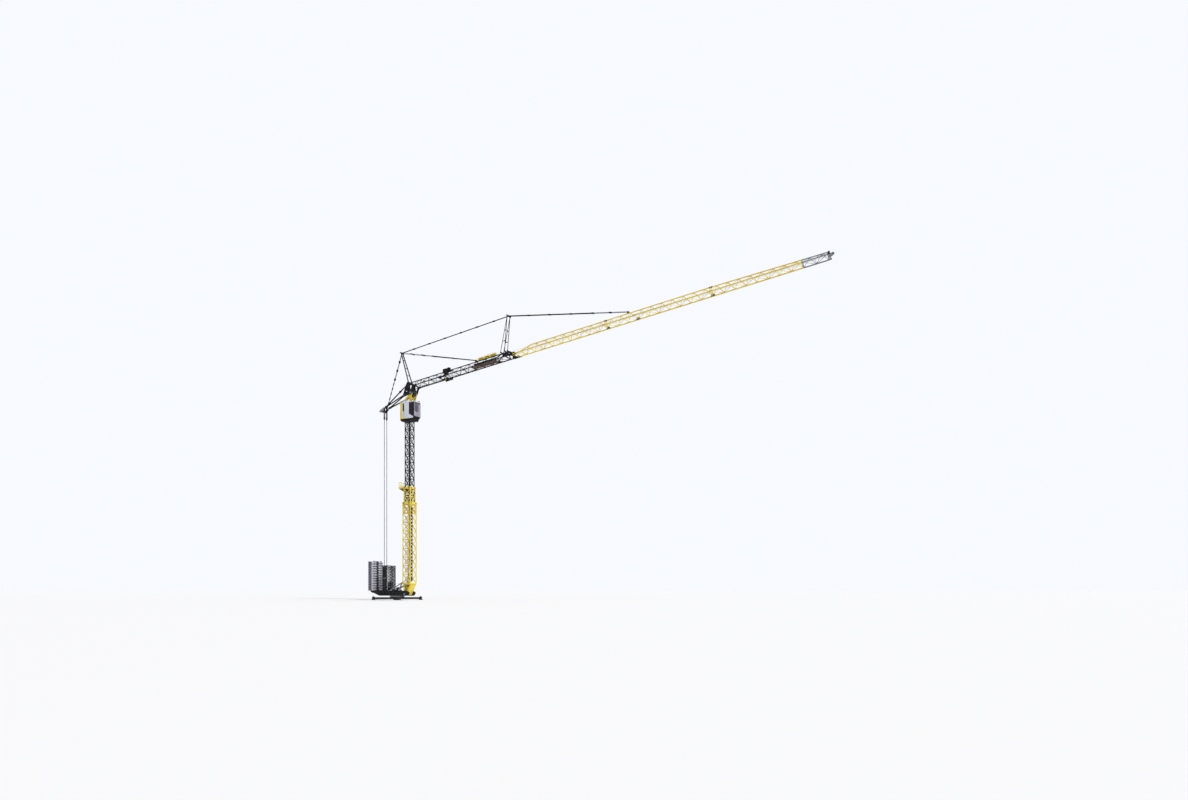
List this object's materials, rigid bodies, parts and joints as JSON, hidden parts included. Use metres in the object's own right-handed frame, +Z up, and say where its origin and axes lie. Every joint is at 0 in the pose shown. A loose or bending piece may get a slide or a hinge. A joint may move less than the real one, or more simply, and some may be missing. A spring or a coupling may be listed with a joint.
{
  "type": "tower crane, 1:2 scale model",
  "caption": "Bottom-slewing tower crane at half size, with telescoping lattice mast, side cab, ballast stack and a tied lattice jib with trolley.",
  "frame": {"origin": "on the slewing axis, at the level of the undersides of the foot pads", "axes": "+Z up along the slewing axis, +X level, below the jib and away from the ballast"},
  "size_m": [31.9635, 2.6296, 18.9736],
  "materials": {
    "yellow_paint": "satin",
    "dark_steel": "satin",
    "black_steel": "satin",
    "grey_steel": "satin",
    "rope_steel": "satin",
    "ballast": "matte",
    "white_panel": "satin",
    "dark_glass": "gloss",
    "black_plastic": "matte"
  },
  "bodies": {
    "base": {"base_frame": "dark_steel", "base_jacks": "grey_steel", "slew_ring_lower": "grey_steel"},
    "turntable": {"slew_ring_upper": "grey_steel", "platform_beams": "dark_steel", "platform_deck": "dark_steel", "ballast_slabs": "ballast", "ballast_posts": "dark_steel", "cage_frame": "dark_steel", "cage_cabinet": "black_steel", "hoist_winch": "grey_steel", "mast_braces": "grey_steel", "mast_foot": "yellow_paint", "outer_mast": "yellow_paint", "mast_collar": "yellow_paint", "rack_strip": "black_steel", "middle_mast": "yellow_paint", "service_platform": "yellow_paint", "inner_mast": "dark_steel", "mast_ladder": "grey_steel", "mast_cap": "yellow_paint", "cab_bracket": "dark_steel", "cab_shell": "white_panel", "cab_glass": "dark_glass", "cab_seat": "black_plastic", "rear_ropes": "rope_steel"},
    "jib": {"head_frame": "dark_steel", "jib_root": "dark_steel", "jib_knuckle": "black_steel", "jib_inner": "yellow_paint", "jib_middle": "yellow_paint", "jib_outer": "yellow_paint", "jib_nose": "grey_steel", "nose_pulley": "grey_steel", "a_frame": "grey_steel", "rear_boom": "dark_steel", "tie_anchors": "dark_steel", "rear_ties": "grey_steel", "short_ties": "grey_steel", "back_ties": "black_steel", "front_ties": "black_steel", "jib_strut": "black_steel", "trolley_winch": "black_steel", "winch_box": "black_steel", "guard_frame": "yellow_paint"},
    "rope_blocks": {"rope_blocks": "black_steel"},
    "trolley": {"trolley": "black_steel", "hook_block": "black_steel"}
  },
  "joints": [
    {"name": "slew", "type": "hinge", "parent": "base", "child": "turntable", "pos_m": [0, 0, 0.3023], "axis": [0, 0, 1], "continuous": true},
    {"name": "luff", "type": "hinge", "parent": "turntable", "child": "jib", "pos_m": [1.45, 0, 14.42], "axis": [0, -1, 0], "range_deg": [0, 36.7], "deforming": ["rear_ropes"]},
    {"name": "block_swing", "type": "hinge", "parent": "jib", "child": "rope_blocks", "pos_m": [-1.05889, 0, 13.57119], "axis": [0, -1, 0], "range_deg": [-36.7, 0]},
    {"name": "trolley_travel", "type": "slide", "parent": "jib", "child": "trolley", "axis": [0.991, 0, 0.134], "range_m": [-1.95, 25.05]}
  ],
  "couplings": [
    {"joint": "block_swing", "follows": "luff", "ratio": -1}
  ]
}
